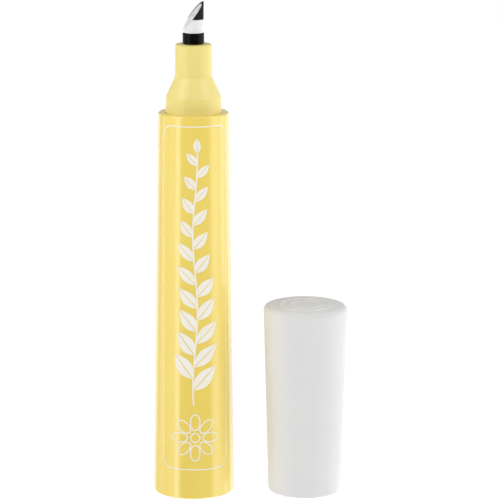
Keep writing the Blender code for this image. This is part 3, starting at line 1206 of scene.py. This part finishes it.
@dataclass
class Cap:
    """The tapered cap, with raised rings on its top and the sealing sleeve in it."""

    axis_x: float
    top_radius: float
    height: float  # Without its rings
    mouth_radius: float = 0.0080
    rim: float = 0.0011  # Rounding of the top's rim
    mouth_edge: float = 0.0002
    top_wall: float = 0.0012
    cavity: float = 0.00643
    step: float = 0.00043  # How much narrower the cavity is above the sleeve
    step_height: float = 0.0260
    ring_radii: tuple[float, ...] = (0.0034, 0.0056)
    ring_width: float = 0.0009
    ring_height: float = 0.00020
    neck_bore: float = 0.00415  # Radius of the sleeve's bore for the neck
    neck_ceiling: float = 0.0152
    chamber: float = 0.0032  # Radius of the sleeve's chamber round the nib
    sleeve_wall: float = 0.0009
    sleeve_base: float = 0.0082
    fins: int = 6
    fin_thickness: float = 0.0008
    fit: float = 0.0001  # Air between the fins and the shell

    def build(self) -> None:
        """Makes the shell and the sleeve with its fins."""
        self.build_shell()
        self.build_sleeve()

    def build_shell(self) -> None:
        """Makes the outer moulding."""
        top, rise = self.height, self.ring_height
        corners = [Corner(0.0, top)]
        for radius in self.ring_radii:
            inner, outer = radius - self.ring_width / 2, radius + self.ring_width / 2
            corners += [
                Corner(inner, top, rise / 2),
                Corner(inner + rise, top + rise, rise / 2),
                Corner(outer - rise, top + rise, rise / 2),
                Corner(outer, top, rise / 2),
            ]
        corners += [
            Corner(self.top_radius, top, self.rim),
            Corner(self.mouth_radius, 0.0, self.mouth_edge),
            Corner(self.cavity, 0.0, self.mouth_edge),
            Corner(self.cavity, self.step_height),
            Corner(self.cavity - self.step, self.step_height),
            Corner(self.cavity - self.step, top - self.top_wall, self.mouth_edge),
            Corner(0.0, top - self.top_wall),
        ]
        shell = turned("cap_moulding", PALE_GREY, corners, self.axis_x)
        place_piece(shell, Body.CAP, "cap_plastic", "cap_shell")

    def build_sleeve(self) -> None:
        """Makes the sealing sleeve and its fins."""
        _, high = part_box("inner_cap")
        thickness = self.sleeve_wall
        ceiling = high.z - thickness
        outer = self.neck_bore + thickness
        corners = [
            Corner(0.0, high.z),
            Corner(self.chamber + thickness, high.z, self.mouth_edge),
            Corner(self.chamber + thickness, self.neck_ceiling + thickness),
            Corner(outer, self.neck_ceiling),
            Corner(outer, self.sleeve_base, self.mouth_edge),
            Corner(self.neck_bore, self.sleeve_base, self.mouth_edge),
            Corner(self.neck_bore, self.neck_ceiling),
            *wall(self.chamber, self.neck_ceiling, ceiling),
            Corner(0.0, ceiling),
        ]
        sleeve = turned("neck_sleeve", NATURAL_WHITE, corners, self.axis_x)
        place_piece(sleeve, Body.CAP, "sleeve_plastic", "inner_cap")
        fins = Fins(
            self.fins,
            self.axis_x,
            inner_radius=self.chamber + thickness / 2,
            outer_radius=self.cavity - self.fit,
            thickness=self.fin_thickness,
            base_height=self.neck_ceiling + thickness / 2,
            top_height=ceiling,
        )
        place_piece(fins.grow("sleeve_fins", NATURAL_WHITE), Body.CAP, "sleeve_plastic")


def dress_filling() -> None:
    """Dresses the hidden reservoir and its film, which stay as the frame has them."""
    for node, finish in (("fibre_reservoir", LOOSE_FIBRE), ("reservoir_wrap", FILM)):
        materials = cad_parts[node].data.materials
        materials.clear()
        materials.append(finish.build())
        LOG.info("%s: dressed as %s", node, finish.name)


@dataclass(frozen=True)
class Softbox:
    """A soft light that faces the object."""

    name: str
    azimuth: float  # Degrees round from the camera's side, positive to the right
    power: float
    width: float
    height: float = 1.6
    distance: float = 0.8  # From its target
    elevation: float = 0.0  # Degrees above the floor
    target_height: float = 0.0
    target_x: float = 0.012  # Between the pen and the cap

    def build(self) -> None:
        """Sets the light up."""
        data = bpy.data.lights.new(self.name, "AREA")
        data.shape = "RECTANGLE"
        data.size = self.width
        data.size_y = self.height
        data.energy = self.power
        turn, lift = math.radians(self.azimuth), math.radians(self.elevation)
        away = Vector((math.sin(turn) * math.cos(lift), -math.cos(turn) * math.cos(lift), math.sin(lift)))
        light = added(self.name, data)
        light.location = away * self.distance + Vector((self.target_x, 0.0, self.target_height))
        light.rotation_euler = away.to_track_quat("Z", "Y").to_euler()
        light.visible_camera = False


@dataclass(frozen=True)
class Studio:
    """The camera, the lights, the even surroundings and the pale floor."""

    across: float = 0.01243  # The camera's place along X
    distance: float = 0.560  # In front of the pen's axis
    height: float = 0.17651
    pitch: float = 12.275  # Degrees that it looks down
    roll: float = 0.20  # Degrees that it leans to its left
    focal_pixels: float = 2597.9
    picture: int = 500  # The picture's side in pixels
    sensor: float = 36.0  # In millimetres
    surroundings: float = 0.20  # Strength of the even light from all round
    floor_side: float = 8.0
    floor_drop: float = 0.00003  # Below the object, so that the two don't touch
    floor_grey: float = 0.16  # Sets how deep the shadows on it are
    floor_grey_share: float = 0.97  # Of that grey in its darker clouds
    floor_cloud_scale: float = 3.0
    floor_glow: float = 0.96  # Its own light, which keeps its shadows faint
    lights: tuple[Softbox, ...] = (
        Softbox("left_softbox", -50.0, 2.15, 0.20),
        Softbox("left_wing", -72.0, 1.3, 0.36),
        Softbox("left_rim", -105.0, 1.4, 0.45),
        Softbox("left_back", -136.0, 0.6, 0.25),
        Softbox("right_softbox", 72.0, 2.7, 0.45),
        Softbox("right_rim", 107.0, 2.6, 0.40),
        Softbox("right_back", 136.0, 1.3, 0.25),
        Softbox("back_low", 180.0, 1.9, 1.25, 0.55, 0.8, -16.0, 0.05),
        Softbox("back_high", 180.0, 0.25, 1.0, 0.14, 0.8, 9.0, 0.05),
        Softbox("near_left", -60.0, 0.60, 0.30, 0.25, 0.42, 38.0, 0.09),
        Softbox("near_front", 0.0, 0.25, 0.30, 0.25, 0.42, 38.0, 0.09),
        Softbox("near_right", 60.0, 0.58, 0.30, 0.25, 0.42, 38.0, 0.09),
        Softbox("low_left", -50.0, 2.4, 0.90, 0.75, 0.9, -56.0, 0.05),
        Softbox("low_right", 50.0, 4.1, 0.90, 0.75, 0.9, -56.0, 0.05),
    )

    def build(self) -> None:
        """Sets up the camera, the lights, the surroundings and the floor."""
        data = bpy.data.cameras.new("camera")
        data.sensor_width = self.sensor
        data.lens = self.focal_pixels / self.picture * self.sensor
        camera = added("camera", data)
        camera.location = (self.across, -self.distance, self.height)
        camera.rotation_mode = "ZXY"
        camera.rotation_euler = (math.radians(90 - self.pitch), 0.0, math.radians(self.roll))
        bpy.context.scene.camera = camera
        for light in self.lights:
            light.build()
        world = bpy.data.worlds.new("even_surroundings")
        world.use_nodes = True
        bench = Bench(world.node_tree)
        seen = bench.outs("ShaderNodeLightPath")[IS_CAMERA_RAY]
        strength = bench.ramp(seen, 0.0, 1.0, self.surroundings, 1.0)
        bench.fill(world.node_tree.nodes["Background"], {"Color": WHITE, "Strength": strength})
        bpy.context.scene.world = world
        bpy.context.scene.view_settings.view_transform = "Standard"
        self.build_floor()

    def build_floor(self) -> None:
        """Lays the pale floor just under the object."""
        shape = bmesh.new()
        bmesh.ops.create_grid(shape, x_segments=4, y_segments=4, size=self.floor_side / 2)
        bmesh.ops.translate(shape, vec=(0.0, 0.0, -self.floor_drop), verts=shape.verts)
        floor = meshed("pale_floor", shape)
        material, bench, shader = blank_material("pale_floor")
        clouds = bench.out("ShaderNodeTexNoise", {"Scale": self.floor_cloud_scale, "Detail": 2.0})
        darker = self.floor_grey * self.floor_grey_share
        bench.fill(shader, {
            "Base Color": bench.tint((self.floor_grey,) * 3, (darker,) * 3, clouds),
            "Roughness": 0.9,
            "Specular IOR Level": 0.1,
            "Emission Color": WHITE,
            "Emission Strength": self.floor_glow,
        })
        floor.data.materials.append(material)
        floor.visible_diffuse = floor.visible_glossy = False
        floor.visible_transmission = floor.visible_shadow = False


def main() -> None:
    """Builds the studio and every piece, in order."""
    logging.basicConfig(level=logging.INFO, format="%(name)s: %(message)s")
    Studio().build()
    _, barrel_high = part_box("barrel")
    Barrel(length=barrel_high.z, base_radius=barrel_high.x).build()
    Nose(shoulder=barrel_high.z).build()
    Nib().build()
    low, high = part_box("cap_shell")
    Cap(axis_x=(low.x + high.x) / 2, top_radius=(high.x - low.x) / 2, height=high.z).build()
    dress_filling()


if __name__ == "__main__":
    main()
